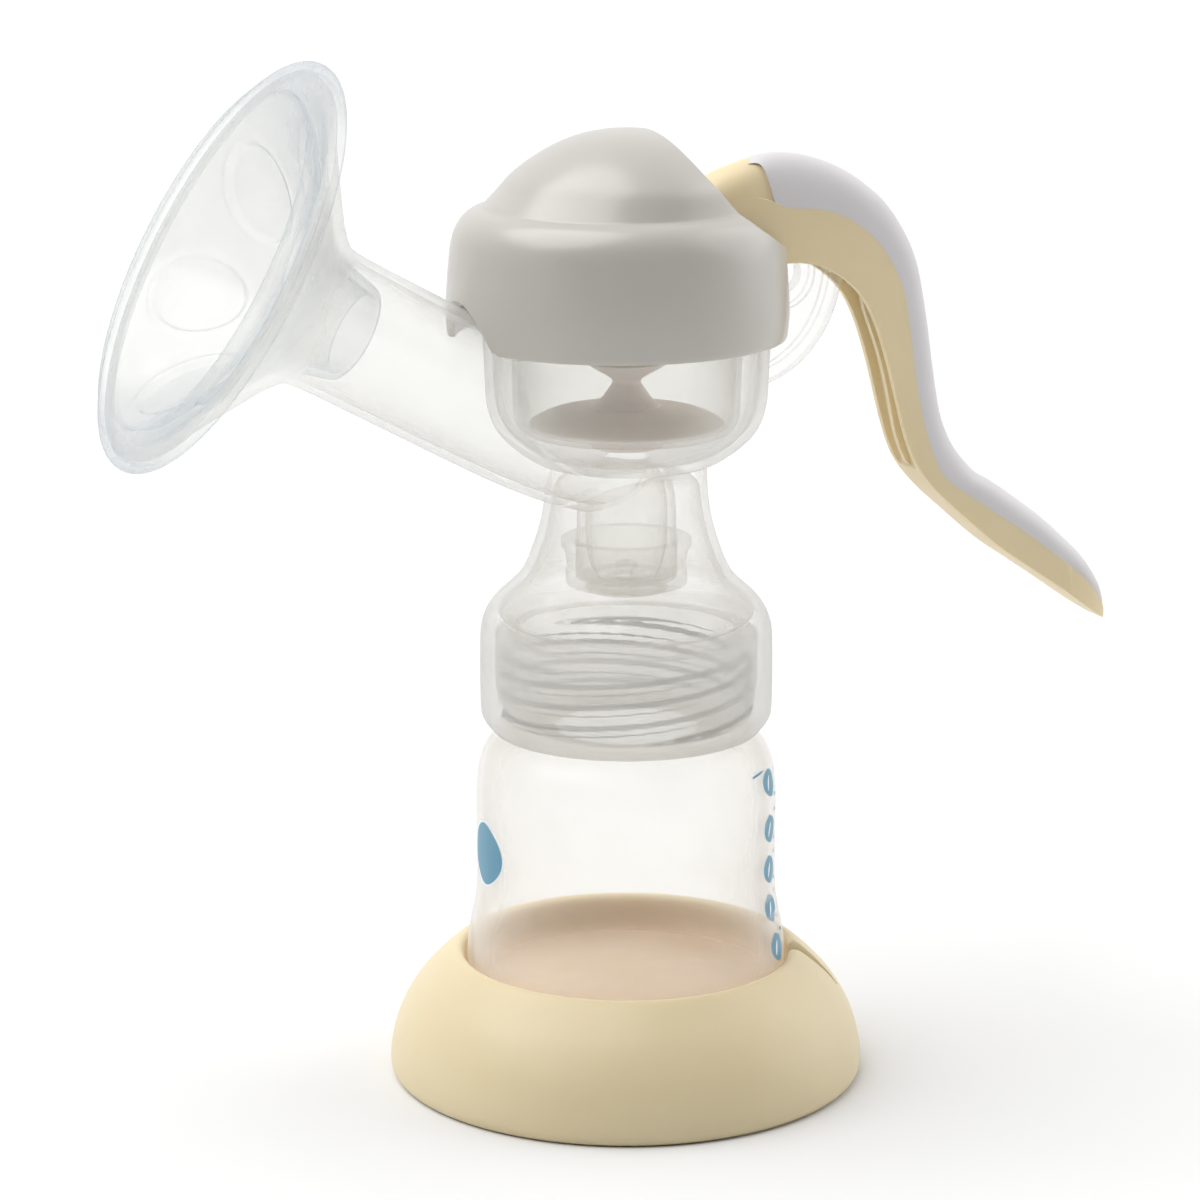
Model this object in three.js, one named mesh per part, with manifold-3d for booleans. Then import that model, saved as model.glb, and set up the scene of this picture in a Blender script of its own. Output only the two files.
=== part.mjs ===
// Manual breast pump on its stand: bottle, clear pump body with a breast shield, silicone cushion,
// one-way valve, diaphragm with its stem, cap, and a squeeze handle that pivots on the body's fin.
// Millimetres, +Z up. The origin is the middle of the stand's underside, on the bottle's axis.
// The shield points to -X, the handle to +X, and the XZ plane is the plane of symmetry.
import * as THREE from 'three';
import { mergeVertices } from 'three/addons/utils/BufferGeometryUtils.js';
import Module from 'manifold-3d';

const wasm = await Module();
wasm.setup();

// ---------------------------------------------------------------- driving dimensions
const GAP = 0.3; // clearance between pieces that touch

const STAND_RADIUS = 54;
const STAND_HEIGHT = 28.4;
const RECESS_RADIUS = 36.9;
const RECESS_FLOOR = 18.4;
const SLIT_WIDTH = 1.7;
const SLIT_ANGLE = -23.3; // degrees round from +X

const BOTTLE_FOOT = RECESS_FLOOR + GAP;
const NECK_RADIUS = 27;
const NECK_BOTTOM = 81;
const MOUTH_HEIGHT = 102;
const THREAD_CREST = 28.8;
const THREAD_STARTS = 3;
const THREAD_LEAD = 14;

const COLLAR_BORE = 29.5;
const BOWL_BASE = 140.3;
const BOWL_TOP = 174;
const BOWL_FLANGE_RADIUS = 33.4;
const PORT_RADIUS = 11.1;
const PORT_BORE = 9.2;
const PORT_END = 115.5;

const SHIELD_RISE = 28.8; // degrees that the shield's axis climbs above the horizontal
const SHIELD_ROOT = 139; // height where the shield's axis meets the bottle's axis
const SHIELD_TUBE = 15.5;
const SHIELD_BORE = 13.8;
const SHIELD_SPLIT = 50; // distance along the shield's axis where the funnel piece starts
const RIM_RADIUS = 47.6;

const PIVOT = [27, 190]; // x and z of the handle's pivot
const PIN_RADIUS = 2.5;
const ARM_HALF_WIDTH = 6.5;
const CHANNEL_HALF_WIDTH = 4.6;
const TAIL_START = 108; // where the handle starts to narrow towards its tip
const TAIL_LENGTH = 15.2;
const FORK_HEIGHT = 169.3; // middle of the fork that lifts the stem
const FORK_THICKNESS = 2.4;
const STEM_NECK = 3.2;

const CAP_OFFSET = -2.2; // the cap's ring sits this far off the bottle's axis, towards the shield
const CAP_SKIN = 2;
const CAP_SLOT_HALF_WIDTH = 8;

const ROUND = 24; // facets round a large turned piece
const ROUND_SMALL = 16; // facets round a small turned piece

// ---------------------------------------------------------------- solids from three.js geometry
const shieldFrame = new THREE.Matrix4()
  .makeRotationY(THREE.MathUtils.degToRad(SHIELD_RISE - 90))
  .setPosition(0, 0, SHIELD_ROOT);

function signedVolume(position, triangles) {
  const corner = [0, 1, 2].map(() => new THREE.Vector3());
  let volume = 0;
  for (let i = 0; i < triangles.length; i += 3) {
    corner.forEach((point, k) => point.fromArray(position, 3 * triangles[i + k]));
    volume += corner[0].dot(corner[1].clone().cross(corner[2])) / 6;
  }
  return volume;
}

// A closed geometry becomes a solid: shared corners merged, slivers dropped, faces turned outwards.
function solid(geometry) {
  const bare = geometry.clone();
  bare.deleteAttribute('normal');
  bare.deleteAttribute('uv');
  const merged = mergeVertices(bare, 1e-4);
  const position = merged.attributes.position.array;
  const index = merged.index.array;
  const triangles = [];
  for (let i = 0; i < index.length; i += 3) {
    const [a, b, c] = index.slice(i, i + 3);
    if (a !== b && b !== c && c !== a) triangles.push(a, b, c);
  }
  if (signedVolume(position, triangles) < 0) triangles.reverse();
  return new wasm.Manifold(new wasm.Mesh({
    numProp: 3,
    vertProperties: Float32Array.from(position),
    triVerts: Uint32Array.from(triangles),
  }));
}

function revolvedGeometry(profile, segments = ROUND) {
  const points = profile.map(([radius, height]) => new THREE.Vector2(radius, height));
  const open = profile[0][0] > 0 || profile.at(-1)[0] > 0;
  if (open) points.push(points[0].clone());
  return new THREE.LatheGeometry(points, segments).rotateX(Math.PI / 2);
}

// A turned solid about the bottle's axis, or about the shield's axis.
function turned(profile, segments) {
  return solid(revolvedGeometry(profile, segments));
}

function turnedOnShield(profile, segments) {
  return solid(revolvedGeometry(profile, segments).applyMatrix4(shieldFrame));
}

function rod(x, z, radius, halfLength, segments = ROUND_SMALL) {
  const geometry = new THREE.CylinderGeometry(radius, radius, 2 * halfLength, segments);
  return solid(geometry.translate(x, 0, z));
}

function upright(x, y, radius, bottom, top) {
  const geometry = new THREE.CylinderGeometry(radius, radius, top - bottom, ROUND_SMALL);
  return solid(geometry.rotateX(Math.PI / 2).translate(x, y, (bottom + top) / 2));
}

function block(low, high) {
  const size = high.map((value, k) => value - low[k]);
  const middle = high.map((value, k) => (value + low[k]) / 2);
  return solid(new THREE.BoxGeometry(...size).translate(...middle));
}

// A side outline in x and z, drawn out to both sides of the XZ plane.
function plate(outline, halfWidth, bevel = 0) {
  const shape = new THREE.Shape(outline.map(([x, z]) => new THREE.Vector2(x, z)));
  const geometry = new THREE.ExtrudeGeometry(shape, {
    depth: 2 * (halfWidth - bevel),
    bevelEnabled: bevel > 0,
    bevelSize: bevel,
    bevelOffset: -bevel,
    bevelThickness: bevel,
    bevelSegments: 2,
    curveSegments: 1,
  });
  return solid(geometry.translate(0, 0, bevel - halfWidth).rotateX(Math.PI / 2));
}

function ellipse(x, z, halfWidth, halfHeight, steps = ROUND) {
  return Array.from({ length: steps }, (unused, k) => {
    const angle = (2 * Math.PI * k) / steps;
    return [x + halfWidth * Math.cos(angle), z + halfHeight * Math.sin(angle)];
  });
}

const group = new THREE.Group();

function addPart(name, body, look) {
  const { vertProperties, triVerts } = body.getMesh();
  const geometry = new THREE.BufferGeometry();
  geometry.setAttribute('position', new THREE.BufferAttribute(vertProperties, 3));
  geometry.setIndex(new THREE.BufferAttribute(triVerts, 1));
  geometry.computeVertexNormals();
  const mesh = new THREE.Mesh(geometry, look.clone());
  mesh.name = name;
  group.add(mesh);
}

function look(color, roughness, opacity = 1) {
  const transparent = opacity < 1;
  return new THREE.MeshStandardMaterial({ color, roughness, metalness: 0, opacity, transparent });
}

const clearPlastic = look(0xeef1ef, 0.15, 0.35);
const frostedPlastic = look(0xf0f0ec, 0.35, 0.5);
const clearSilicone = look(0xeef2f4, 0.4, 0.45);
const yellowPlastic = look(0xf3dfa6, 0.5);
const lavenderGrip = look(0xdcd9de, 0.65);
const warmWhite = look(0xe2e0da, 0.4);
const palePink = look(0xe8ddd8, 0.5);
const steel = look(0xb9bcc0, 0.3);

// ---------------------------------------------------------------- stand
function standShell() {
  const floor = RECESS_FLOOR - 2;
  const underside = [
    [0, floor], [33.6, floor], [37.4, 18.6], [38.9, 21.2], [38.9, 24],
    [41.4, 22.8], [45.4, 19], [48.1, 15], [50.1, 10.6], [51.6, 5.2], [51.6, 0],
  ];
  const outside = [
    [52.9, 0], [STAND_RADIUS, 1.2], [STAND_RADIUS, 4], [53.5, 7.4], [52.4, 11.6],
    [50.7, 15.5], [47.6, 20.4], [44.2, 24], [41.6, 26.4], [39.8, STAND_HEIGHT - 0.5],
    [38.6, STAND_HEIGHT], [37.5, STAND_HEIGHT - 0.5], [RECESS_RADIUS, STAND_HEIGHT - 1.7],
  ];
  const recess = [[RECESS_RADIUS, 22.4], [35.7, 19.6], [32.8, RECESS_FLOOR], [0, RECESS_FLOOR]];
  const shell = turned([...underside, ...outside, ...recess]);
  const half = SLIT_WIDTH / 2;
  const slit = block([34, -half, 20.5], [60, half, 40]).rotate([0, 0, SLIT_ANGLE]);
  return shell.subtract(slit);
}

function standBaseDisc() {
  const radius = 51.6 - GAP;
  return turned([[0, 0], [radius - 0.6, 0], [radius, 0.6], [radius, 2], [0, 2]]);
}

// ---------------------------------------------------------------- bottle
// One thread ridge: a small four-sided section carried round the neck as it climbs.
function threadRidge(start) {
  const steps = 16;
  const turns = 1.05;
  const rise = THREAD_LEAD * turns;
  const path = new THREE.CatmullRomCurve3(
    Array.from({ length: steps + 1 }, (unused, k) => {
      const angle = start + (2 * Math.PI * turns * k) / steps;
      const radius = NECK_RADIUS + 0.6;
      const height = 83.4 + (rise * k) / steps;
      return new THREE.Vector3(radius * Math.cos(angle), radius * Math.sin(angle), height);
    }),
  );
  const half = THREAD_CREST - NECK_RADIUS - 0.6;
  const corners = [[-half, -0.9], [half, -0.9], [half, 0.9], [-half, 0.9]];
  const section = new THREE.Shape(corners.map(([x, y]) => new THREE.Vector2(x, y)));
  return solid(new THREE.ExtrudeGeometry(section, { steps, extrudePath: path, bevelEnabled: false }));
}

function bottle() {
  const foot = BOTTLE_FOOT;
  const outside = [
    [0, foot + 1.6], [23.5, foot + 1.6], [26.5, foot], [31.5, foot], [34.8, 20.7], [36.1, 23.6],
    [36.4, 27], [35.8, 33.4], [34.5, 39], [33.95, 44], [33.85, 56], [34.1, 65], [33.4, 72],
    [32.1, 75.8], [29.4, 79.3], [NECK_RADIUS, NECK_BOTTOM], [NECK_RADIUS, MOUTH_HEIGHT - 0.6],
    [NECK_RADIUS - 0.6, MOUTH_HEIGHT],
  ];
  const inside = [
    [25.8, MOUTH_HEIGHT], [25.3, MOUTH_HEIGHT - 0.5], [25.3, 80.2], [28.6, 77.9], [30.8, 75],
    [32, 71.6], [32.7, 65], [32.45, 56], [32.55, 44], [33.1, 39.3], [34.4, 33.2], [34.9, 27],
    [34.2, 23.8], [32, 21.6], [28, foot + 3.1], [0, foot + 3.1],
  ];
  let body = turned([...outside, ...inside]);
  for (let k = 0; k < THREAD_STARTS; k += 1) {
    body = body.add(threadRidge((2 * Math.PI * k) / THREAD_STARTS));
  }
  return body;
}

// ---------------------------------------------------------------- pump body
const bowlInside = [
  [0, 142.4], [17.5, 142.6], [21.4, 144.2], [25.5, 147.6], [28.1, 151], [29.4, 156],
  [29.6, 160], [29.9, BOWL_TOP + 0.1], [0, BOWL_TOP + 0.1],
];

function neckAndCollar() {
  const outside = turned([
    [0, 80.3], [30.1, 80.3], [31.1, 81.5], [32.5, 83.4], [32.9, 85.4], [32.9, 102], [32.3, 105.7],
    [30.4, 109.4], [26.5, 113], [24.3, 114.9], [22.2, 118.5], [20.9, 122.2], [19.6, 126],
    [18.5, 131], [17.9, 137], [17.9, 143], [0, 143],
  ]);
  const inside = turned([
    [0, 80.2], [COLLAR_BORE, 80.2], [COLLAR_BORE, MOUTH_HEIGHT + 0.4], [24.6, MOUTH_HEIGHT + 0.4],
    [24.6, 104.6], [28.8, 106.4], [28.4, 109], [24.6, 112.2], [22.5, 114], [20.3, 118.5],
    [18.3, 124], [16.7, 131], [16.1, 139], [0, 139],
  ]);
  return { outside, inside };
}

// The shield's tube narrows inside the neck, where it runs into the port tube under the bowl.
function shieldTube(mouthRadius, portRadius, length) {
  return turnedOnShield([
    [0, -portRadius * 0.5], [portRadius, 0], [mouthRadius, 19], [mouthRadius, length], [0, length],
  ]);
}

function fin() {
  const [centreX, centreZ] = [28, 184];
  const ring = { x: 36.8, z: 181.4, outer: 8.3, hole: 4.7 };
  const top = [
    [60, 176.8], [51.4, 179.6], [46.5, 182.8], [41, 186.6], [36, 190.8], [PIVOT[0], 195.2],
    [23.4, 193.6], [21.8, 190], [23.4, 185], [28, 180.8],
  ];
  const root = [[BOWL_FLANGE_RADIUS + 0.6, 177.8], [34, BOWL_TOP - 0.5], [30.6, BOWL_TOP - 0.5]];
  const region = [[30.6, 150], [60, 150], ...top, ...root];
  const outline = plate(ellipse(centreX, centreZ, 24.3, 28.2), 2);
  const insideBead = plate(ellipse(centreX, centreZ, 20.9, 24.8), 3);
  return outline
    .subtract(insideBead)
    .add(outline.intersect(block([0, -0.9, 150], [60, 0.9, 220])))
    .add(rod(ring.x, ring.z, ring.outer, 2, ROUND))
    .intersect(plate(region, 3))
    .add(rod(...PIVOT, 5.2, CHANNEL_HALF_WIDTH - 0.5))
    .subtract(rod(ring.x, ring.z, ring.hole, 6))
    .subtract(rod(...PIVOT, PIN_RADIUS + GAP, 6));
}

function pumpBody() {
  const neck = neckAndCollar();
  const tube = shieldTube(SHIELD_TUBE, PORT_RADIUS, SHIELD_SPLIT - GAP);
  const port = turned([[0, PORT_END], [PORT_RADIUS, PORT_END], [PORT_RADIUS, 141], [0, 141]]);
  const tubeBore = shieldTube(SHIELD_BORE, PORT_BORE, SHIELD_SPLIT);
  const portBore = upright(0, 0, PORT_BORE, PORT_END - 1, 141);
  const bowlVolume = turned(bowlInside);
  const aboveFlange = turned([
    [0, BOWL_TOP], [BOWL_FLANGE_RADIUS + 0.2, BOWL_TOP], [BOWL_FLANGE_RADIUS + 0.2, 200], [0, 200],
  ]);
  const bowl = turned([
    [0, BOWL_BASE], [18, 140.6], [22, 142.5], [26.7, 146], [29.8, 149.7], [31.2, 155],
    [31.4, 159], [31.8, 170.6], [BOWL_FLANGE_RADIUS, 171.6], [BOWL_FLANGE_RADIUS, BOWL_TOP],
    [0, BOWL_TOP],
  ]);
  const drain = upright(0, 0, 5, 139, 145);
  const cavity = neck.inside.subtract(tube.add(port));
  return neck.outside
    .add(tube)
    .subtract(cavity)
    .subtract(tubeBore)
    .subtract(portBore)
    .add(bowl)
    .subtract(bowlVolume)
    .subtract(aboveFlange)
    .subtract(drain)
    .add(fin());
}

// ---------------------------------------------------------------- breast shield and cushion
function shieldFunnel() {
  const start = SHIELD_SPLIT;
  const outside = [
    [SHIELD_TUBE, start], [SHIELD_TUBE, 81.6], [17.2, 84.6], [21.5, 88.9], [28, 94], [34, 98.7],
    [39.5, 102.8], [43, 105.2], [44.8, 106.1], [45, 106.6],
  ];
  const inside = [
    [42.2, 106.6], [41, 106.1], [37.8, 104.1], [32.4, 100.2], [26.4, 95.5], [20, 90.7], [15.9, 87],
    [SHIELD_BORE, 83.4], [SHIELD_BORE, start],
  ];
  return turnedOnShield([...outside, ...inside]);
}

function cushion() {
  const againstFunnel = [
    [10.6, 72.5], [11.2, 73.4], [13.5, 83.8], [15.5, 87.3], [19.7, 91.2], [26.1, 96], [32.1, 100.7],
    [37.5, 104.6], [40.6, 106.6], [41.8, 107.1],
  ];
  const rim = [
    [45.4, 107.1], [45.4, 104.9], [46.7, 104.9], [RIM_RADIUS, 105.9], [47.5, 107.5], [46.4, 108.5],
    [43.8, 108.6],
  ];
  const face = [
    [40.4, 108], [37.1, 106.4], [31.4, 102.4], [25.4, 97.7], [18.9, 92.9], [13.9, 88.8],
    [11.8, 84.4], [9.2, 72.9], [9.6, 72.5],
  ];
  return turnedOnShield([...againstFunnel, ...rim, ...face]);
}

// ---------------------------------------------------------------- one-way valve
function valveCup() {
  const bore = PORT_RADIUS + GAP;
  let cup = turned([
    [1.9, 113.5], [13.2, 113.5], [13.6, 113.9], [13.6, 117.2], [13.2, 117.6], [13.9, 121.6],
    [14.6, 122.1], [14.6, 124], [bore, 124], [bore, 115.1], [1.9, 115.1],
  ], ROUND_SMALL);
  const holes = 5;
  for (let k = 0; k < holes; k += 1) {
    const angle = (2 * Math.PI * k) / holes;
    cup = cup.subtract(upright(6.2 * Math.cos(angle), 6.2 * Math.sin(angle), 1.9, 110, 115.3));
  }
  return cup;
}

function valveFlap() {
  return turned([
    [0, 110.4], [0.9, 110.6], [0.9, 112], [9.2, 112.2], [9.4, 112.8], [1.5, 113.2], [1.5, 116.6],
    [2.5, 117], [2.2, 118.4], [0, 118.9],
  ], ROUND_SMALL);
}

// ---------------------------------------------------------------- diaphragm and stem
function diaphragm() {
  return turned([
    [3.4, 147.6], [22.4, 147.6], [24.4, 149.4], [25.2, 152], [25.3, 160], [25.7, 168], [27, 172.2],
    [29.4, BOWL_TOP + GAP], [33, BOWL_TOP + GAP], [33.2, 174.8], [33.2, 176], [32.8, 176.6],
    [27.6, 176.6], [25.6, 173.6], [24.5, 168.5], [24.1, 160], [24, 152.5], [23.4, 150.2],
    [22, 148.8], [3.4, 148.8],
  ]);
}

function stem() {
  return turned([
    [0, 145.4], [2.7, 145.4], [3.1, 145.8], [3.1, 149.1], [21.4, 149.1], [21.8, 149.6],
    [21.6, 150.3], [16, 153], [7.4, 153.3], [7.4, 154.1], [6.1, 154.7], [3.4, 158.6],
    [3.1, 159.4], [3.5, 160.2], [9, 163.2], [9, 164.2], [STEM_NECK, 164.7], [STEM_NECK, 173],
    [5.6, 173.6], [5.6, 176.4], [4.4, 177.8], [0, 178.2],
  ], ROUND_SMALL);
}

function stemButton() {
  return turned([[3.4, 144.5], [7.6, 144.5], [8, 145], [8, 146.8], [7.5, 147.3], [3.4, 147.3]], ROUND_SMALL);
}

// ---------------------------------------------------------------- handle
// The seam is the line along both sides where the yellow arm meets the soft overmoulded grip.
const seam = [
  [36.4, 196.6], [41.4, 196.5], [47.4, 195.5], [52.9, 192.8], [57.6, 189.2], [60.9, 185.3],
  [63.8, 180.5], [65.8, 175.4], [67.3, 166.9], [68.5, 158.3], [70.6, 146.8], [75.2, 134.2],
  [79.2, 130.4], [84.5, 127.2], [91.2, 122.6], [99.2, 117.4], [107.3, 111.2], [112.7, 106.9],
  [118.7, 101.2], [121.6, 97],
];
const gripNose = [[35.7, 196.6], [32.5, 197.9], [29.3, 199.9], [28, 202], [27.6, 204.6], [26.4, 206.3]];
const armUnderside = [
  [121.5, 94.4], [116.7, 97.4], [107.7, 103.8], [98.5, 110], [91.5, 114.6], [81.3, 123.4],
  [74.6, 129.2], [68.6, 136.5], [65.2, 147], [62.3, 158.6], [57.9, 171.6], [52.7, 178.6],
  [45.2, 183.2], [37.9, 184.4], [30, 183.6], [24, 181.4],
];
// From the seam up to the crest of the grip, along the arm: seam x, seam z, crest x, crest z.
const gripStations = [
  [27.4, 205.4, 28, 206.6], [28.8, 202.2, 30.3, 207.6], [30, 200.2, 32.6, 208.2],
  [32.8, 198.4, 36.1, 208.4], [36.6, 197, 41, 207.9], [41.5, 196.9, 46.5, 206.4],
  [47.5, 195.9, 51.9, 204.1], [53.1, 193.2, 57.3, 200.7], [57.9, 189.5, 62.7, 196.1],
  [61.3, 185.5, 67, 190.2], [64.2, 180.7, 70.2, 183.8], [66.2, 175.5, 72, 177.1],
  [67.7, 167, 73.8, 167.7], [68.9, 158.4, 75.2, 158.8], [71.2, 146.9, 77.2, 147.9],
  [73.4, 140, 79.6, 141.6], [75.7, 134.9, 82.6, 137], [79.4, 130.8, 87.1, 132.3],
  [84.7, 127.6, 90.9, 130.1], [91.4, 123, 97.6, 125.5], [99.4, 117.8, 104.6, 120.3],
  [107.5, 111.6, 111.3, 114.4], [112.9, 107.3, 116.3, 109.4], [118.8, 101.6, 120.5, 103.3],
  [121.4, 98, 122.2, 98.6],
];

function handleArm() {
  const underFork = FORK_HEIGHT - FORK_THICKNESS / 2;
  const overFork = FORK_HEIGHT + FORK_THICKNESS / 2;
  const link = [
    [18, 176], [13, 169], [11, underFork], [-8, underFork], [-8, overFork], [7, overFork],
    [9.4, 174], [11.6, 180], [12.4, 188], [14, 196],
  ];
  const head = [[14.8, 200], [17.5, 202.8], [22, 205], ...gripNose.slice().reverse()];
  const outline = [...armUnderside, ...link, ...head, ...seam.slice(1)];
  const channel = [
    [21, 176], [21, 195], [24, 199.6], [28, 198.4], [32, 195.6], [36, 194], [41, 193.9],
    [45.8, 193], [50.8, 190.6], [55, 187.4], [58, 183.8], [60.5, 179.4], [62.3, 174.8],
    [63.8, 166.4], [65.1, 157.8], [66.6, 149], [69.4, 139.6], [71.4, 134.4], [66, 128],
    [58, 140], [54, 160], [46, 172], [36, 178],
  ];
  const rib = [
    [56.6, 175.4], [59, 177], [62.3, 182], [66, 176], [67, 166], [69, 152], [72, 140], [74, 134],
    [69.4, 135], [66.6, 142], [64.6, 152], [62, 162],
  ];
  const forkSlot = block([-9, -STEM_NECK - 0.7, 160], [9, STEM_NECK + 0.7, 180]);
  const shell = plate(outline, ARM_HALF_WIDTH, 0.9);
  return shell
    .subtract(plate(channel, CHANNEL_HALF_WIDTH))
    .add(plate(rib, 0.8).intersect(shell))
    .subtract(forkSlot)
    .subtract(rod(...PIVOT, PIN_RADIUS + GAP, 20))
    .intersect(handlePlan());
}

// Seen from above, the handle is straight-sided and its tail ends in a half ellipse.
function halfWidthAt(x) {
  const reach = Math.min(Math.max(x - TAIL_START, 0) / TAIL_LENGTH, 1);
  return ARM_HALF_WIDTH * Math.sqrt(1 - reach * reach);
}

function handlePlan() {
  const steps = [-20, ...Array.from({ length: 9 }, (unused, k) => (
    TAIL_START + TAIL_LENGTH * Math.sin((Math.PI * k) / 16)))];
  const near = steps.map((x) => new THREE.Vector2(x, -halfWidthAt(x)));
  const far = steps.slice(0, -1).reverse().map((x) => new THREE.Vector2(x, halfWidthAt(x)));
  const geometry = new THREE.ExtrudeGeometry(new THREE.Shape([...near, ...far]), {
    depth: 150,
    bevelEnabled: false,
  });
  return solid(geometry.translate(0, 0, 80));
}

// The grip is lofted: at each station a flat seam below and a domed top that peaks at the crest.
function handleGrip() {
  const across = 12;
  const ring = across + 1;
  const position = gripStations.flatMap(([seamX, seamZ, crestX, crestZ]) => {
    const halfWidth = halfWidthAt((seamX + crestX) / 2);
    return Array.from({ length: ring }, (unused, k) => {
      const angle = (Math.PI * k) / across;
      const rise = Math.sin(angle) ** 0.8;
      return [
        seamX + (crestX - seamX) * rise,
        -halfWidth * Math.cos(angle),
        seamZ + (crestZ - seamZ) * rise,
      ];
    }).flat();
  });
  const index = [];
  for (let row = 0; row + 1 < gripStations.length; row += 1) {
    for (let k = 0; k < ring; k += 1) {
      const here = row * ring + k;
      const beside = row * ring + ((k + 1) % ring);
      index.push(here, beside, here + ring, beside, beside + ring, here + ring);
    }
  }
  const last = (gripStations.length - 1) * ring;
  for (let k = 1; k + 1 < ring; k += 1) {
    index.push(0, k + 1, k);
    index.push(last, last + k, last + k + 1);
  }
  const geometry = new THREE.BufferGeometry();
  geometry.setAttribute('position', new THREE.Float32BufferAttribute(position, 3));
  geometry.setIndex(index);
  return solid(geometry);
}

function pivotPin() {
  return rod(...PIVOT, PIN_RADIUS, ARM_HALF_WIDTH - 0.4);
}

// ---------------------------------------------------------------- cap
// The ring is turned about an axis a little towards the shield; the dome is turned about the
// bottle's axis. Between them the centre shifts smoothly with height.
function capTurned(profile) {
  const geometry = revolvedGeometry(profile, 32);
  const position = geometry.attributes.position;
  for (let k = 0; k < position.count; k += 1) {
    const shift = CAP_OFFSET * (1 - THREE.MathUtils.smoothstep(position.getZ(k), 197, 204));
    position.setX(k, position.getX(k) + shift);
  }
  return solid(geometry);
}

// Everything below the scooped rear face, which falls from the dome's top to the ring.
function belowScoop(depth) {
  const scoop = [
    [4.5, 215.4], [8, 207.9], [12, 202.4], [16, 198.4], [20, 195.2], [25, 192.2], [30, 189.8], [36, 187],
  ];
  const [back, down] = [depth * 0.7, depth * 0.75];
  const line = scoop.map(([x, z]) => [x - back, z - down]);
  return plate([[-60, 150], [-60, 240], [line[0][0], 240], ...line, [60, 172], [60, 150]], 60);
}

function cap() {
  const outside = capTurned([
    [0, 169.3], [36.9, 169.3], [37.5, 169.9], [37.9, 175], [37.7, 180], [37.1, 187],
    [36.6, 190.6], [35.3, 194], [32.9, 197.2], [29.4, 199.5], [28, 201.7], [26.8, 204],
    [24.4, 206.2], [20, 209.4], [14.1, 212.6], [7.5, 214.6], [0, 215.3],
  ]);
  const inside = capTurned([
    [0, 169.2], [35.8, 169.2], [35.9, 175], [35.7, 180], [35.1, 187], [34.6, 190], [33.5, 192.8],
    [31.6, 195.2], [28.2, 197.6], [26.4, 200.2], [25.2, 202.8], [22.8, 204.8], [18.8, 207.7],
    [13.2, 210.7], [7, 212.6], [0, 213.3],
  ]);
  const slot = block([13.5, -CAP_SLOT_HALF_WIDTH, 150], [60, CAP_SLOT_HALF_WIDTH, 240]);
  const notchRadius = SHIELD_TUBE + 0.8;
  const tubeNotch = turnedOnShield([[0, 10], [notchRadius, 10], [notchRadius, 70], [0, 70]]);
  const belowNotch = block([-60, -14.4, 150], [-20, 14.4, 170]);
  return outside
    .intersect(belowScoop(0))
    .subtract(inside.intersect(belowScoop(CAP_SKIN)))
    .subtract(slot)
    .subtract(tubeNotch)
    .subtract(belowNotch);
}

addPart('stand', standShell(), yellowPlastic);
addPart('stand_base_disc', standBaseDisc(), yellowPlastic);
addPart('bottle', bottle(), frostedPlastic);
addPart('pump_body', pumpBody(), clearPlastic);
addPart('shield_funnel', shieldFunnel(), clearPlastic);
addPart('cushion', cushion(), clearSilicone);
addPart('valve_cup', valveCup(), clearPlastic);
addPart('valve_flap', valveFlap(), clearSilicone);
addPart('diaphragm', diaphragm(), clearSilicone);
addPart('stem', stem(), palePink);
addPart('stem_button', stemButton(), palePink);
addPart('handle_arm', handleArm(), yellowPlastic);
addPart('handle_grip', handleGrip(), lavenderGrip);
addPart('pivot_pin', pivotPin(), steel);
addPart('cap', cap(), warmWhite);

export default group;
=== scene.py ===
"""Manual breast pump on its stand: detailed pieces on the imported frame, with materials, light and camera.

Blender works in metres. The shapes below are given in millimetres, in the frame's own axes: +Z is up, the
origin is the middle of the stand's underside, the shield points to -X and the handle to +X.
"""

import math

import bmesh
import bpy
from mathutils import Matrix, Vector


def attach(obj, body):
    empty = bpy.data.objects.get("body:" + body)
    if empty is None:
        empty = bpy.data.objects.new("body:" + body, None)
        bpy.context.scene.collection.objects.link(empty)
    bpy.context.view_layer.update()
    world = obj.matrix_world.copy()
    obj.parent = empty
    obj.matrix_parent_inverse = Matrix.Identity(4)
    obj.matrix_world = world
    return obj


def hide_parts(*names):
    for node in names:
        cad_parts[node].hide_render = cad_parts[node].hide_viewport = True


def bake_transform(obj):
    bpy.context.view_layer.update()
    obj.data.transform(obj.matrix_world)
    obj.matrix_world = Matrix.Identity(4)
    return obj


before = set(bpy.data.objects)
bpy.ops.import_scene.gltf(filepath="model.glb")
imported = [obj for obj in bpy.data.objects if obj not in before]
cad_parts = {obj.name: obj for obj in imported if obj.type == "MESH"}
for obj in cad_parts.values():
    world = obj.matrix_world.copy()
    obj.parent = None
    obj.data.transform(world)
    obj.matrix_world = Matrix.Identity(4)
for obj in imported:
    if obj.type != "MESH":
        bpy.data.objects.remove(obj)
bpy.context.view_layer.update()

# ---------------------------------------------------------------- driving dimensions, mm
MM = 0.001
GAP = 0.3  # clearance between pieces that touch

STAND_HEIGHT = 28.4
STAND_RADIUS = 54
RECESS_RADIUS = 36.9
RECESS_FLOOR = 18.4
SLIT_ANGLE = -23.3  # degrees round from +X
SLIT_HALF_WIDTH = 1.4

BOTTLE_FOOT = RECESS_FLOOR + GAP
NECK_RADIUS = 27
MOUTH_HEIGHT = 102
THREAD_HEIGHT = 1.7
THREAD_STARTS = 3
THREAD_LEAD = 14

COLLAR_BORE = 29.5
BOWL_TOP = 174
BOWL_FLANGE = 33.4
PORT_RADIUS = 11.1
PORT_BORE = 9.2
PORT_END = 115.5

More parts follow.
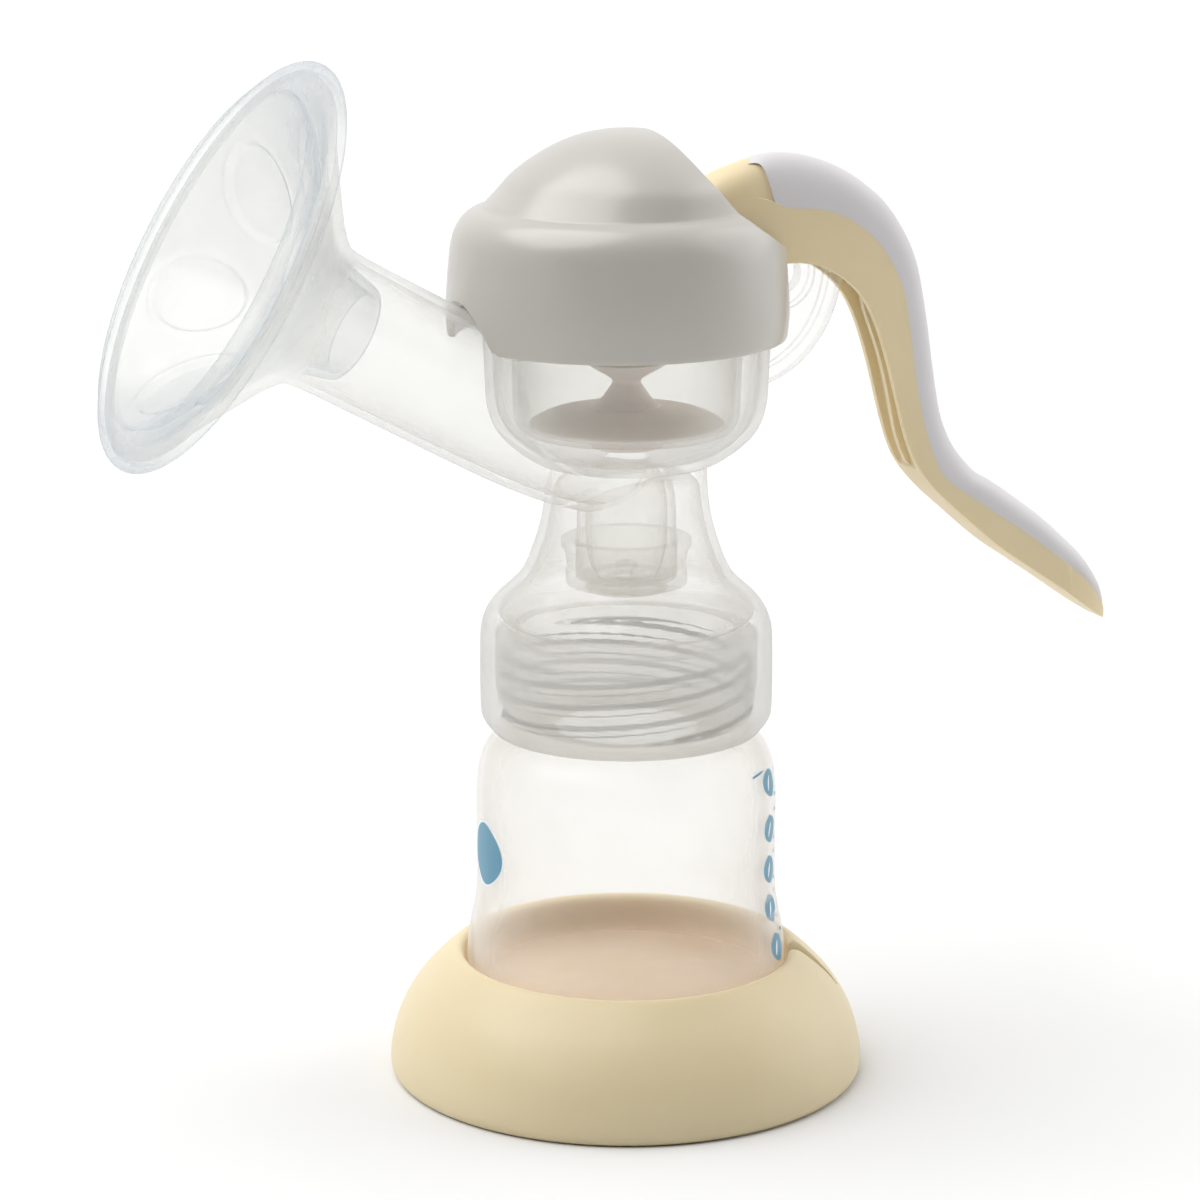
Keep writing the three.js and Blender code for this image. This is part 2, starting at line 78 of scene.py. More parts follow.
SHIELD_RISE = 28.8  # degrees that the shield's axis climbs above the horizontal
SHIELD_ROOT = 139
SHIELD_TUBE = 15.5
SHIELD_BORE = 13.8
RIM_RADIUS = 47.6
PETALS = 6
PETAL_START = math.radians(46)

PIVOT_X, PIVOT_Z = 27, 190
PIN_RADIUS = 2.5
ARM_HALF_WIDTH = 6.5
CHANNEL_HALF_WIDTH = 4.6
TAIL_START = 108
TAIL_LENGTH = 15.2
FORK_HEIGHT = 169.3
FORK_THICKNESS = 2.4
STEM_NECK = 3.2
SEAM_SETTLE = 1.1  # how far the soft grip laps down over the arm's rounded edges

CAP_OFFSET = -2.2
CAP_SKIN = 2
CAP_SLOT_HALF_WIDTH = 8

SHIELD_FRAME = Matrix.Translation((0, 0, SHIELD_ROOT)) @ Matrix.Rotation(
    math.radians(SHIELD_RISE - 90), 4, "Y"
)


# ---------------------------------------------------------------- outlines
def rounded(points, closed=True, steps=5):
    """A smooth line: each corner is cut back to half of each side, or to the corner's own third value."""
    line = []
    count = len(points)
    for k, corner in enumerate(points):
        here = Vector(corner[:2])
        if not closed and k in (0, count - 1):
            line.append(here)
            continue
        before = Vector(points[k - 1][:2]) - here
        after = Vector(points[(k + 1) % count][:2]) - here
        reach = corner[2] if len(corner) > 2 else math.inf
        start = here + before.normalized() * min(reach, before.length / 2)
        end = here + after.normalized() * min(reach, after.length / 2)
        for step in range(steps + 1):
            t = step / steps
            line.append(start * (1 - t) ** 2 + here * 2 * t * (1 - t) + end * t * t)
    thin = [line[0]]
    for point in line[1:]:
        if (point - thin[-1]).length > 0.02:
            thin.append(point)
    if closed and (thin[0] - thin[-1]).length < 0.02:
        thin.pop()
    return thin


def threaded(values, parts=4):
    """Rows of numbers with a smooth curve through them: parts new rows in each stretch."""
    rows = []
    for k in range(len(values) - 1):
        picks = [values[max(k - 1, 0)], values[k], values[k + 1], values[min(k + 2, len(values) - 1)]]
        for step in range(parts):
            t = step / parts
            rows.append([
                0.5 * (2 * b + (c - a) * t + (2 * a - 5 * b + 4 * c - d) * t**2
                       + (3 * b - 3 * c + d - a) * t**3)
                for a, b, c, d in zip(*picks)
            ])
    rows.append(list(values[-1]))
    return rows


def ellipse(x, z, half_width, half_height, steps=96):
    angles = [2 * math.pi * k / steps for k in range(steps)]
    return [(x + half_width * math.cos(a), z + half_height * math.sin(a)) for a in angles]


def smoothstep(low, high, value):
    t = min(max((value - low) / (high - low), 0), 1)
    return t * t * (3 - 2 * t)


# ---------------------------------------------------------------- solids
def finished(name, work):
    bmesh.ops.recalc_face_normals(work, faces=work.faces)
    mesh = bpy.data.meshes.new(name)
    work.to_mesh(mesh)
    work.free()
    piece = bpy.data.objects.new(name, mesh)
    bpy.context.scene.collection.objects.link(piece)
    return piece


def straight(angle, radius, height):
    return Vector((radius * math.cos(angle), radius * math.sin(angle), height))


def lathe(name, profile, segments=144, matrix=Matrix.Identity(4), place=straight):
    """Turns a profile of (radius, height). It's a ring unless it starts and ends on the axis."""
    work = bmesh.new()
    rings = []
    for radius, height in profile:
        count = 1 if radius < 1e-6 else segments
        angles = [2 * math.pi * k / segments for k in range(count)]
        rings.append([work.verts.new(matrix @ place(a, radius, height) * MM) for a in angles])
    following = rings[1:] if profile[0][0] < 1e-6 else rings[1:] + rings[:1]
    for lower, upper in zip(rings, following):
        for k in range(segments):
            corners = [
                lower[k % len(lower)],
                lower[(k + 1) % len(lower)],
                upper[(k + 1) % len(upper)],
                upper[k % len(upper)],
            ]
            corners = list(dict.fromkeys(corners))
            if len(corners) > 2:
                work.faces.new(corners)
    return finished(name, work)


def plate(name, outline, half_width, bevel=0.0):
    """A side outline in x and z, drawn out to both sides of the XZ plane."""
    work = bmesh.new()
    near = [work.verts.new(Vector((x, -half_width, z)) * MM) for x, z in outline]
    far = [work.verts.new(Vector((x, half_width, z)) * MM) for x, z in outline]
    sides = [work.faces.new(near), work.faces.new(far[::-1])]
    count = len(outline)
    for k in range(count):
        beside = (k + 1) % count
        work.faces.new((near[k], far[k], far[beside], near[beside]))
    bmesh.ops.recalc_face_normals(work, faces=work.faces)
    if bevel:
        edges = [edge for side in sides for edge in side.edges]
        bmesh.ops.bevel(
            work, geom=edges, offset=bevel * MM, segments=4, profile=0.5, affect="EDGES", clamp_overlap=True
        )
    return finished(name, work)


def rod(name, x, z, radius, half_length):
    """A round bar across the XZ plane."""
    turn = Matrix.Translation((x, 0, z)) @ Matrix.Rotation(math.radians(90), 4, "X")
    profile = [(0, -half_length), (radius, -half_length), (radius, half_length), (0, half_length)]
    return lathe(name, profile, 64, turn)


def block(name, low, high):
    work = bmesh.new()
    bmesh.ops.create_cube(work, size=1)
    for vertex in work.verts:
        vertex.co = Vector([
            (low[axis] + (vertex.co[axis] + 0.5) * (high[axis] - low[axis])) * MM for axis in range(3)
        ])
    return finished(name, work)


def combine(piece, tool, operation):
    modifier = piece.modifiers.new(operation.lower(), "BOOLEAN")
    modifier.operation = operation
    modifier.solver = "MANIFOLD"
    modifier.object = tool
    depsgraph = bpy.context.evaluated_depsgraph_get()
    mesh = bpy.data.meshes.new_from_object(piece.evaluated_get(depsgraph))
    piece.modifiers.clear()
    piece.data = mesh
    bpy.data.objects.remove(tool)
    return piece


def cut(piece, *tools):
    for tool in tools:
        combine(piece, tool, "DIFFERENCE")
    return piece


def join(piece, *tools):
    for tool in tools:
        combine(piece, tool, "UNION")
    return piece


def keep(piece, tool):
    return combine(piece, tool, "INTERSECT")


def loft(name, rings, closed=False):
    """Closed sections of equal count, joined in order. The ends are filled, or meet if closed."""
    work = bmesh.new()
    rows = [[work.verts.new(Vector(point) * MM) for point in ring] for ring in rings]
    count = len(rings[0])
    for lower, upper in zip(rows, rows[1:] + rows[:1] if closed else rows[1:]):
        for k in range(count):
            beside = (k + 1) % count
            work.faces.new((lower[k], lower[beside], upper[beside], upper[k]))
    if not closed:
        work.faces.new(rows[0])
        work.faces.new(rows[-1][::-1])
    return finished(name, work)


def dress(piece, body, slot, material, *nodes, sharp=32):
    """Gives a piece its smooth shading, material and body, and hides the CAD nodes that it stands for."""
    piece.data.shade_smooth()
    piece.data.set_sharp_from_angle(angle=math.radians(sharp))
    piece.data.materials.clear()
    piece.data.materials.append(material)
    if nodes:
        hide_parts(*nodes)
    if body:
        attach(piece, body)
    return piece


# ---------------------------------------------------------------- materials
def node_tree(name):
    material = bpy.data.materials.new(name)
    material.use_nodes = True
    tree = material.node_tree
    tree.nodes.clear()
    return material, tree


def add(tree, kind, **inputs):
    """A node with its input sockets set to values, or linked to other sockets."""
    node = tree.nodes.new(kind)
    for key, value in inputs.items():
        socket = node.inputs[int(key[1:]) if key[0] == "i" and key[1:].isdigit() else key.replace("_", " ")]
        if isinstance(value, bpy.types.NodeSocket):
            tree.links.new(value, socket)
        else:
            socket.default_value = value
    return node


def noise(tree, scale, detail=3.0):
    place = add(tree, "ShaderNodeTexCoord").outputs["Object"]
    return add(tree, "ShaderNodeTexNoise", Vector=place, Scale=scale, Detail=detail).outputs["Fac"]


def spread(tree, value, low, high, start=0.3, end=0.7):
    node = add(tree, "ShaderNodeMapRange", Value=value)
    node.inputs["From Min"].default_value = start
    node.inputs["From Max"].default_value = end
    node.inputs["To Min"].default_value = low
    node.inputs["To Max"].default_value = high
    return node.outputs["Result"]


def blended(tree, factor, one, other):
    node = tree.nodes.new("ShaderNodeMix")
    node.data_type = "RGBA"
    tree.links.new(factor, node.inputs["Factor"])
    node.inputs["A"].default_value = (*one, 1)
    node.inputs["B"].default_value = (*other, 1)
    return node.outputs["Result"]


def grain(tree, scale, depth):
    """A bump of fine moulded grain, depth in metres."""
    height = noise(tree, scale)
    return add(tree, "ShaderNodeBump", Height=height, Strength=1.0, Distance=depth).outputs["Normal"]


def moulded(name, light, dark, roughness, grain_scale=1400, grain_depth=0.000006, **look):
    """Opaque moulded plastic or rubber: cloudy colour, uneven gloss and a fine grain. Near the object's
    upright axis, in the stand's recess, the colour is replaced by a deeper orange: painted shade and bounced
    yellow light."""
    material, tree = node_tree(name)
    colour = blended(tree, spread(tree, noise(tree, 28), 0, 1), light, dark)
    # Painted shade: the stand's recess gets a deeper orange for the shade and bounced light inside it.
    if "core_colour" in look:
        place = add(tree, "ShaderNodeTexCoord").outputs["Object"]
        flat = add(tree, "ShaderNodeVectorMath", i0=place, i1=(1, 1, 0))
        flat.operation = "MULTIPLY"
        radius = add(tree, "ShaderNodeVectorMath", i0=flat.outputs[0])
        radius.operation = "LENGTH"
        inside = spread(tree, radius.outputs["Value"], 1, 0, 0.0355, 0.0375)
        mixed = tree.nodes.new("ShaderNodeMix")
        mixed.data_type = "RGBA"
        tree.links.new(inside, mixed.inputs["Factor"])
        tree.links.new(colour, mixed.inputs["A"])
        mixed.inputs["B"].default_value = (*look["core_colour"], 1)
        colour = mixed.outputs["Result"]
    gloss = spread(tree, noise(tree, 90), roughness - 0.04, roughness + 0.04)
    shader = add(
        tree, "ShaderNodeBsdfPrincipled",
        Base_Color=colour, Roughness=gloss, Normal=grain(tree, grain_scale, grain_depth),
    )
    shader.inputs["Subsurface Weight"].default_value = look.get("subsurface", 0.0)
    shader.inputs["Subsurface Radius"].default_value = (1.0, 0.7, 0.4)
    shader.inputs["Subsurface Scale"].default_value = 0.005
    shader.inputs["Sheen Weight"].default_value = look.get("sheen", 0.0)
    shader.inputs["Coat Weight"].default_value = look.get("coat", 0.0)
    shader.inputs["Coat Roughness"].default_value = 0.25
    through = add(tree, "ShaderNodeBsdfTranslucent", Color=colour)
    share = look.get("translucent", 0.0)
    surface = add(tree, "ShaderNodeMixShader", i0=share, i1=shader.outputs[0], i2=through.outputs[0])
    add(tree, "ShaderNodeOutputMaterial", Surface=surface.outputs[0])
    return material


def math_node(tree, operation, one, other=0.0):
    node = add(tree, "ShaderNodeMath", i0=one, i1=other)
    node.operation = operation
    node.use_clamp = True
    return node.outputs[0]


def height_of(tree):
    place = add(tree, "ShaderNodeTexCoord").outputs["Object"]
    return add(tree, "ShaderNodeSeparateXYZ", Vector=place).outputs["Z"]


def thread_shade(tree, low, high):
    """The flanks of a moulded thread bend the light away, so they look grey."""
    normal = add(tree, "ShaderNodeTexCoord").outputs["Normal"]
    tilt = add(tree, "ShaderNodeSeparateXYZ", Vector=normal).outputs["Z"]
    steep = spread(tree, math_node(tree, "ABSOLUTE", tilt), 0, THREAD_SHADE, 0.25, 0.75)
    height = height_of(tree)
    above = spread(tree, height, 0, 1, low, low + 0.001)
    below = spread(tree, height, 1, 0, high - 0.001, high)
    return math_node(tree, "MULTIPLY", steep, math_node(tree, "MULTIPLY", above, below))


def see_through(name, milk, grazing_shade, face, edge, gloss, curve=1.8, matt_below=None, thread=None):
    """Clear or frosted plastic: a milky share that grows towards grazing angles, under a gloss. Towards
    grazing angles the milk also darkens to a painted shade, for light that the wall bends away at its edges.
    Below the heights in matt_below the mould was textured, so the wall is milkier."""
    material, tree = node_tree(name)
    facing = add(tree, "ShaderNodeLayerWeight", Blend=0.5).outputs["Facing"]
    haze = spread(tree, math_node(tree, "POWER", facing, curve), face, edge, 0, 1)
    cloud = spread(tree, noise(tree, 60), 0.85, 1.15)
    share = math_node(tree, "MULTIPLY", haze, cloud)
    if matt_below:
        matt = spread(tree, height_of(tree), MATT_SHARE, 0, *matt_below)
        share = math_node(tree, "ADD", share, matt)
    bump = grain(tree, 300, 0.000006)
    # Painted shade: the milk's colour darkens towards grazing angles, for light the wall bends away.
    colour = blended(tree, math_node(tree, "POWER", facing, 3.0), milk, grazing_shade)
    window = add(tree, "ShaderNodeBsdfTransparent", Color=(0.995, 0.995, 0.99, 1))
    lit = add(tree, "ShaderNodeBsdfPrincipled", Base_Color=colour, Roughness=0.5, Normal=bump)
    glowing = add(tree, "ShaderNodeBsdfTranslucent", Color=colour)
    cloudy = add(tree, "ShaderNodeMixShader", i0=0.5, i1=lit.outputs[0], i2=glowing.outputs[0])
    wall = add(tree, "ShaderNodeMixShader", i0=share, i1=window.outputs[0], i2=cloudy.outputs[0])
    if thread:
        grey = add(tree, "ShaderNodeBsdfDiffuse", Color=(0.22, 0.22, 0.21, 1))
        wall = add(
            tree, "ShaderNodeMixShader",
            i0=thread_shade(tree, *thread), i1=wall.outputs[0], i2=grey.outputs[0],
        )
    mirror = spread(tree, math_node(tree, "POWER", facing, 5.0), 0.012, 0.45, 0, 1)
    shine = add(tree, "ShaderNodeBsdfGlossy", Color=(1, 1, 1, 1), Roughness=gloss, Normal=bump)
    surface = add(tree, "ShaderNodeMixShader", i0=mirror, i1=wall.outputs[0], i2=shine.outputs[0])
    add(tree, "ShaderNodeOutputMaterial", Surface=surface.outputs[0])
    return material


def brushed_steel():
    material, tree = node_tree("pin_steel")
    colour = blended(tree, noise(tree, 400), (0.55, 0.56, 0.58), (0.66, 0.67, 0.68))
    gloss = spread(tree, noise(tree, 900), 0.22, 0.4)
    shader = add(
        tree, "ShaderNodeBsdfPrincipled",
        Base_Color=colour, Roughness=gloss, Metallic=1.0, Normal=grain(tree, 1500, 0.00001),
    )
    add(tree, "ShaderNodeOutputMaterial", Surface=shader.outputs[0])
    return material


MATT_SHARE = 0.26
THREAD_BAND = (0.082, 0.1005)  # heights of the bottle's thread, m
MATT_BAND = (0.104, 0.109)  # the collar's textured wall fades out between these heights, m
THREAD_SHADE = 0.6
# The stand's recess has a painted deeper orange for the shade and bounced light in it.
yellow = moulded(
    "yellow_plastic", (0.76, 0.645, 0.415), (0.73, 0.615, 0.39), 0.42,
    subsurface=0.15, core_colour=(0.88, 0.58, 0.32),
)
handle_yellow = moulded(
    "handle_plastic", (0.85, 0.715, 0.455), (0.82, 0.685, 0.43), 0.42, subsurface=0.15, translucent=0.05
)
lavender = moulded("grip_rubber", (0.70, 0.68, 0.685), (0.67, 0.65, 0.66), 0.5, sheen=0.1)
satin_white = moulded(
    "cap_plastic", (0.57, 0.545, 0.50), (0.55, 0.525, 0.48), 0.38, coat=0.8, translucent=0.12
)
pale_pink = moulded("stem_plastic", (0.90, 0.83, 0.785), (0.87, 0.80, 0.755), 0.45, subsurface=0.3)
print_blue = moulded("print_ink", (0.10, 0.31, 0.45), (0.085, 0.27, 0.40), 0.4)
print_white = moulded("print_white", (0.86, 0.90, 0.91), (0.80, 0.85, 0.87), 0.4)
steel = brushed_steel()
clear_body = see_through(
    "clear_plastic", (0.91, 0.905, 0.885), (0.55, 0.55, 0.53), 0.07, 0.62, 0.16, matt_below=MATT_BAND
)
frosted = see_through(
    "frosted_plastic", (0.93, 0.92, 0.895), (0.74, 0.73, 0.70), 0.085, 0.6, 0.3, thread=THREAD_BAND
)
silicone = see_through("clear_silicone", (0.64, 0.66, 0.67), (0.32, 0.41, 0.49), 0.075, 0.62, 0.24, 1.5)
thin_silicone = see_through("thin_silicone", (0.90, 0.89, 0.87), (0.52, 0.53, 0.52), 0.05, 0.5, 0.24)


# ---------------------------------------------------------------- stand
def stand_outside():
    return [
        (52.9, 0, 0.4), (STAND_RADIUS, 1.2), (STAND_RADIUS, 4), (53.5, 7.4), (52.4, 11.6),
        (50.7, 15.5), (47.6, 20.4), (44.2, 24), (41.6, 26.4), (39.8, STAND_HEIGHT - 0.5),
        (38.6, STAND_HEIGHT), (37.5, STAND_HEIGHT - 0.5), (RECESS_RADIUS, STAND_HEIGHT - 1.7),
    ]


def slit_cutter():
    """The slit across the stand's crest, whose lips are rounded over."""
    turn = Matrix.Rotation(math.radians(SLIT_ANGLE), 4, "Z")
    section = [
        (4.8, 1.2), (3.5, 0.1), (2.6, -0.5), (1.9, -1.4), (SLIT_HALF_WIDTH, -2.6), (SLIT_HALF_WIDTH, -4.4),
    ]
    section = section + [(-across, up) for across, up in reversed(section)]
    spine = [
        (34, 27.6), (36.5, 28.3), (38.6, STAND_HEIGHT), (40.4, 27.6), (42.6, 25.6), (45.9, 22.2),
        (48.6, 18.9),
    ]
    spine = rounded(spine, closed=False)
    rings = []
    for k, (radius, height) in enumerate(spine):
        ahead = spine[min(k + 1, len(spine) - 1)] - spine[max(k - 1, 0)]
        normal = Vector((-ahead.y, ahead.x)).normalized()
        narrow = 1 - 0.8 * smoothstep(37, 49, radius)
        ring = []
        for across, up in section:
            point = Vector((radius + normal.x * up, across * narrow, height + normal.y * up))
            ring.append(turn @ point)
        rings.append(ring)
    return loft("slit", rings)


def build_stand():
    floor = RECESS_FLOOR - 2
    underside = [
        (0, floor), (33.6, floor), (37.4, 18.6), (38.9, 21.2), (38.9, 24), (41.4, 22.8), (45.4, 19),
        (48.1, 15), (50.1, 10.6), (51.6, 5.2), (51.6, 0, 0.3),
    ]
    recess = [(RECESS_RADIUS, 22.4), (35.7, 19.6), (32.8, RECESS_FLOOR), (0, RECESS_FLOOR)]
    profile = rounded([*underside, *stand_outside(), *recess], closed=False)
    shell = cut(lathe("stand_shell", profile, 192), slit_cutter())
    dress(shell, "stand", "yellow_plastic", yellow, "stand", sharp=40)

    radius = 51.6 - GAP
    edge = [(0, 0), (radius - 0.6, 0, 0.2), (radius, 0.6, 0.2), (radius, 2, 0.3), (0, 2)]
    disc = lathe("stand_base", rounded(edge, closed=False))
    dress(disc, "stand", "yellow_plastic", yellow, "stand_base_disc")


# ---------------------------------------------------------------- bottle
BOTTLE_OUTSIDE = [
    (0, BOTTLE_FOOT + 1.6), (23.5, BOTTLE_FOOT + 1.6), (26.5, BOTTLE_FOOT), (31.5, BOTTLE_FOOT),
    (34.8, 20.7), (36.1, 23.6), (36.4, 27), (35.8, 33.4), (34.5, 39), (33.95, 44), (33.85, 56),
    (34.1, 65), (33.4, 72), (32.1, 75.8), (29.4, 79.3), (NECK_RADIUS, 81, 0.8),
]


def thread_rise(angle, height):
    """How far the thread stands proud of the neck: three ridges that climb as they go round."""
    pitch = THREAD_LEAD / THREAD_STARTS
    phase = ((height - THREAD_LEAD * angle / (2 * math.pi)) / pitch) % 1
    ridge = smoothstep(0.20, 0.36, phase) * (1 - smoothstep(0.60, 0.78, phase))
    ends = smoothstep(82.6, 84.4, height) * (1 - smoothstep(97.4, 99.4, height))
    return THREAD_HEIGHT * ridge * ends


def with_thread(angle, radius, height):
    on_neck = radius > NECK_RADIUS - 0.05 and height > 81.5
    return straight(angle, radius + (thread_rise(angle, height) if on_neck else 0), height)


def build_bottle():
    rows = 48
    low, high = 81.6, MOUTH_HEIGHT - 0.8
    neck = [Vector((NECK_RADIUS, low + (high - low) * k / rows)) for k in range(rows + 1)]
    lip = [
        (25.8, MOUTH_HEIGHT, 0.3), (25.3, MOUTH_HEIGHT - 0.5, 0.3), (25.3, 80.2, 1), (28.6, 77.9), (30.8, 75),
        (32, 71.6), (32.7, 65), (32.45, 56), (32.55, 44), (33.1, 39.3), (34.4, 33.2), (34.9, 27),
        (34.2, 23.8), (32, 21.6), (28, BOTTLE_FOOT + 3.1), (0, BOTTLE_FOOT + 3.1),
    ]
    inside = rounded([(NECK_RADIUS - 0.3, MOUTH_HEIGHT), *lip], closed=False)
    profile = rounded(BOTTLE_OUTSIDE, closed=False) + neck + inside
    body = lathe("bottle_body", profile, 192, place=with_thread)
    dress(body, "bottle", "frosted_plastic", frosted, "bottle", sharp=50)


def bottle_radius(height):
    walls = [(h, r) for r, h in BOTTLE_OUTSIDE[6:13]]
    for (low, first), (high, second) in zip(walls, walls[1:]):
        if low <= height <= high:
            return first + (second - first) * smoothstep(low, high, height)
    return walls[-1][1]


def printed(name, outline, azimuth, height, lift, material):
    """A thin patch of ink that follows the bottle's wall: outline in mm across and up."""
    rings = 6
    layers = []
    for offset in (lift, lift + 0.03):
        rows = []
        for ring in range(1, rings + 1):
            row = []
            for across, up in outline:
                z = height + up * ring / rings
                radius = bottle_radius(z) + offset
                angle = math.radians(azimuth) + across * ring / rings / radius
                row.append(straight(angle, radius, z))
            rows.append(row)
        layers.append(rows)
    work = bmesh.new()
    inner = [[work.verts.new(point * MM) for point in row] for row in layers[0]]
    outer = [[work.verts.new(point * MM) for point in row] for row in layers[1]]
    count = len(outline)
    for rows, offset in ((inner, lift), (outer, lift + 0.03)):
        middle = work.verts.new(straight(math.radians(azimuth), bottle_radius(height) + offset, height) * MM)
        for k in range(count):
            work.faces.new((middle, rows[0][k], rows[0][(k + 1) % count]))
        for lower, upper in zip(rows, rows[1:]):
            for k in range(count):
                beside = (k + 1) % count
                work.faces.new((lower[k], lower[beside], upper[beside], upper[k]))
    for k in range(count):
        beside = (k + 1) % count
        work.faces.new((inner[-1][k], inner[-1][beside], outer[-1][beside], outer[-1][k]))
    return dress(finished(name, work), "bottle", "frosted_plastic", material)


def leaf(width, tall, lean=0.0, steps=28):
    """A pointed oval, leaning so that its ends shift sideways."""
    points = []
    for k in range(steps):
        angle = 2 * math.pi * k / steps
        side = math.cos(angle)
        up = math.sin(angle)
        across = side * (1 - 0.35 * abs(up) ** 3) * width / 2 + lean * up
        points.append((across, up * tall / 2))
    return points


def build_prints():
    scale_azimuth = -41
    heights = (70, 59.2, 49.7, 40.6, 31.6)
    for k, height in enumerate(heights):
        printed(f"scale_leaf_{k + 1}", leaf(7.4, 6.8, -0.8), scale_azimuth, height, 0.03, print_blue)
        printed(f"scale_vein_{k + 1}", leaf(1.1, 3.4, 0.5), scale_azimuth - 1, height, 0.08, print_white)
    for k, (upper, lower) in enumerate(zip(heights, heights[1:])):
        for step in (1, 2):
            height = upper + (lower - upper) * step / 3
            printed(f"scale_dot_{k + 1}_{step}", leaf(1.6, 0.8), scale_azimuth + 7, height, 0.03, print_blue)
    printed("scale_unit", leaf(4.4, 0.9, 1.6), scale_azimuth - 11, 73.4, 0.03, print_blue)
    drop = [(-0.9 + 8.2 * math.cos(a) * (1 - 0.28 * abs(math.sin(a)) ** 2), 7.1 * math.sin(a))
            for a in (2 * math.pi * k / 40 for k in range(40))]
    printed("drop_border", [(x * 1.09, z * 1.09) for x, z in drop], 180, 54, 0.03, print_white)
    printed("drop_patch", drop, 180, 54, 0.07, print_blue)


# ---------------------------------------------------------------- clear body
def neck_solids():
    outside = [
        (0, 80.3), (30.1, 80.3, 0.6), (31.1, 81.5), (32.5, 83.4), (32.9, 85.4), (32.9, 102), (32.3, 105.7),
        (30.4, 109.4), (26.5, 113), (24.3, 114.9), (22.2, 118.5), (20.9, 122.2), (19.6, 126),
        (18.5, 131), (17.9, 137), (17.9, 143), (0, 143),
    ]
    inside = [
        (0, 80.2), (COLLAR_BORE, 80.2), (COLLAR_BORE, MOUTH_HEIGHT + 0.4, 0.5),
        (24.6, MOUTH_HEIGHT + 0.4, 0.3), (24.6, 104.6, 0.5), (28.8, 106.4), (28.4, 109), (24.6, 112.2),
        (22.5, 114), (20.3, 118.5), (18.3, 124), (16.7, 131), (16.1, 139), (0, 139),
    ]
    return (
        lathe("neck", rounded(outside, closed=False), 192),
        lathe("neck_cavity", rounded(inside, closed=False), 192),
    )


def shield_outside():
    return [
        (SHIELD_TUBE, 60), (SHIELD_TUBE, 81.6), (17.2, 84.6), (21.5, 88.9), (28, 94), (34, 98.7),
        (39.5, 102.8), (43, 105.2), (44.8, 106.1, 0.3), (45, 106.6, 0.2), (42.2, 106.6, 0.3),
    ]


def shield_solids():
    root = [(0, -PORT_RADIUS / 2), (PORT_RADIUS, 0, 2), (SHIELD_TUBE, 19)]
    outside = [*root, *shield_outside(), (0, 106.6)]
    inside = [
        (0, 120), (42.4, 120), (42.2, 106.6), (41, 106.1), (37.8, 104.1), (32.4, 100.2), (26.4, 95.5),
        (20, 90.7), (15.9, 87), (SHIELD_BORE, 83.4), (SHIELD_BORE, 19), (PORT_BORE, 0, 2),
        (0, -PORT_BORE / 2),
    ]
    return (
        lathe("shield", rounded(outside, closed=False), 192, SHIELD_FRAME),
        lathe("shield_cavity", rounded(inside, closed=False), 192, SHIELD_FRAME),
    )


def bowl_solids():
    outside = [
        (0, 140.3), (18, 140.6), (22, 142.5), (26.7, 146), (29.8, 149.7), (31.2, 155), (31.4, 159),
        (31.8, 170.6, 0.8), (BOWL_FLANGE, 171.6, 0.5), (BOWL_FLANGE, BOWL_TOP, 0.3), (0, BOWL_TOP),
    ]
    inside = [
        (0, 142.4), (17.5, 142.6), (21.4, 144.2), (25.5, 147.6), (28.1, 151), (29.4, 156), (29.6, 160),
        (29.9, BOWL_TOP + 0.1), (0, BOWL_TOP + 0.1),
    ]
    return (
        lathe("bowl", rounded(outside, closed=False), 192),
        lathe("bowl_cavity", rounded(inside, closed=False), 192),
    )


def build_fin():
    """The clear fin that carries the handle's pivot: a thin web with a bead and an eye."""
    ring_x, ring_z, ring_outer, ring_hole = 36.8, 181.4, 8.3, 4.7
    top = [
        (60, 176.8), (51.4, 179.6), (46.5, 182.8), (41, 186.6), (36, 190.8), (PIVOT_X, 195.2), (23.4, 193.6),
        (21.8, 190), (23.4, 185), (28, 180.8),
    ]
    root = [(BOWL_FLANGE + 0.6, 177.8, 0.2), (34, BOWL_TOP - 0.5, 0.2), (30.6, BOWL_TOP - 0.5, 0.2)]
    region = rounded([(30.6, 150, 0.5), (60, 150, 0.5), *top, *root])
    bead = plate("bead", ellipse(28, 184, 24.3, 28.2), 2, 0.7)
    cut(bead, plate("bead_inside", ellipse(28, 184, 20.9, 24.8), 3))
    web = keep(plate("web", ellipse(28, 184, 23.6, 27.5), 0.9), plate("web_region", region, 3))
    keep(bead, plate("bead_region", region, 3))
    ring = keep(rod("ring", ring_x, ring_z, ring_outer, 2), plate("ring_region", region, 3))
    join(web, bead, ring, rod("boss", PIVOT_X, PIVOT_Z, 5.2, CHANNEL_HALF_WIDTH - 0.5))
    eye = rod("eye", ring_x, ring_z, ring_hole, 6)
    pin_hole = rod("pin_hole", PIVOT_X, PIVOT_Z, PIN_RADIUS + GAP, 6)
    return cut(web, eye, pin_hole)


